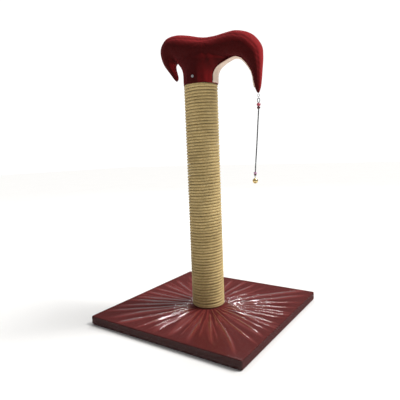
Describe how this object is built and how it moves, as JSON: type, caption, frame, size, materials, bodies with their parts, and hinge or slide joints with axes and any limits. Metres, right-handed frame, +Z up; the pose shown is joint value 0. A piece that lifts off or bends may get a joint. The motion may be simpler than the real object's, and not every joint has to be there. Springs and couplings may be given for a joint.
{
  "type": "cat scratching post",
  "caption": "Square-based cat scratching post: rope-wound upright, stuffed two-horned fabric topper and a bell hanging on a cord.",
  "frame": {"origin": "middle of the base's underside, on the floor, under the post's axis", "axes": "+Z up the post; X and Y along the base's sides; the post leans on no side; the topper lies in an upright plane turned 14 degrees anticlockwise from +X, its long horn towards +X, its front towards -Y"},
  "size_m": [0.4012, 0.4012, 0.667],
  "materials": {
    "chipboard": "raw particle board",
    "dark_red_velour": "short dark red pile",
    "clear_film": "clear stretch film, creased, glossy",
    "grey_card": "wound cardboard",
    "sisal": "twisted sisal rope, fibrous",
    "pine": "sawn",
    "plywood": "sawn",
    "wadding": "loose fibre",
    "cream_lining": "short cream pile",
    "steel": "bright zinc",
    "black_cord": "twisted cord with a pale fleck",
    "red_bead": "polished",
    "dark_bead": "polished",
    "lilac_bead": "polished",
    "brown_knot": "satin",
    "pale_brass": "polished, pale"
  },
  "bodies": {
    "stand": {"base_board": "chipboard", "base_cover": "dark_red_velour", "base_film": "clear_film", "base_bolt": "steel", "base_washer": "steel", "tee_nut": "steel", "post_tube": "grey_card", "rope_wrap": "sisal", "lower_plug": "pine", "upper_plug": "pine", "rope_tack_lower": "steel", "rope_tack_upper": "steel", "topper_cover": "dark_red_velour", "topper_padding": "wadding", "topper_core": "plywood", "core_screw_1": "steel", "core_screw_2": "steel", "topper_lining": "cream_lining", "cover_tack_front": "steel", "cover_tack_back": "steel", "tip_eye": "steel", "hem_staple_1": "steel", "hem_staple_2": "steel", "hem_staple_3": "steel", "hem_staple_4": "steel", "hem_staple_5": "steel", "hem_staple_6": "steel", "hem_staple_7": "steel", "hem_staple_8": "steel", "lower_plug_pin_1": "steel", "upper_plug_pin_1": "steel", "lower_plug_pin_2": "steel", "upper_plug_pin_2": "steel", "lower_plug_pin_3": "steel", "upper_plug_pin_3": "steel"},
    "ring": {"jump_ring": "steel"},
    "toy": {"cord_loop": "black_cord", "toy_cord": "black_cord", "red_bead": "red_bead", "dark_bead": "dark_bead", "lilac_bead": "lilac_bead", "cap_bead": "brown_knot", "bell_link": "steel"},
    "bell": {"bell_shell": "pale_brass"},
    "pellet": {"bell_pellet": "steel"}
  },
  "joints": [
    {"name": "ring_sway", "type": "hinge", "parent": "stand", "child": "ring", "pos_m": [0.13138, 0.03276, 0.5147], "axis": [-0.2419, 0.9703, 0], "range_deg": [-50, 20]},
    {"name": "toy_sway", "type": "hinge", "parent": "ring", "child": "toy", "pos_m": [0.13138, 0.03276, 0.5102], "axis": [0.9703, 0.2419, 0], "range_deg": [-50, 50]},
    {"name": "bell_tilt", "type": "hinge", "parent": "toy", "child": "bell", "pos_m": [0.12051, 0.03005, 0.33405], "axis": [-0.2419, 0.9703, 0], "range_deg": [-40, 40]},
    {"name": "pellet_rattle", "type": "slide", "parent": "bell", "child": "pellet", "axis": [0, 0, 1], "range_m": [0, 0.003]}
  ]
}
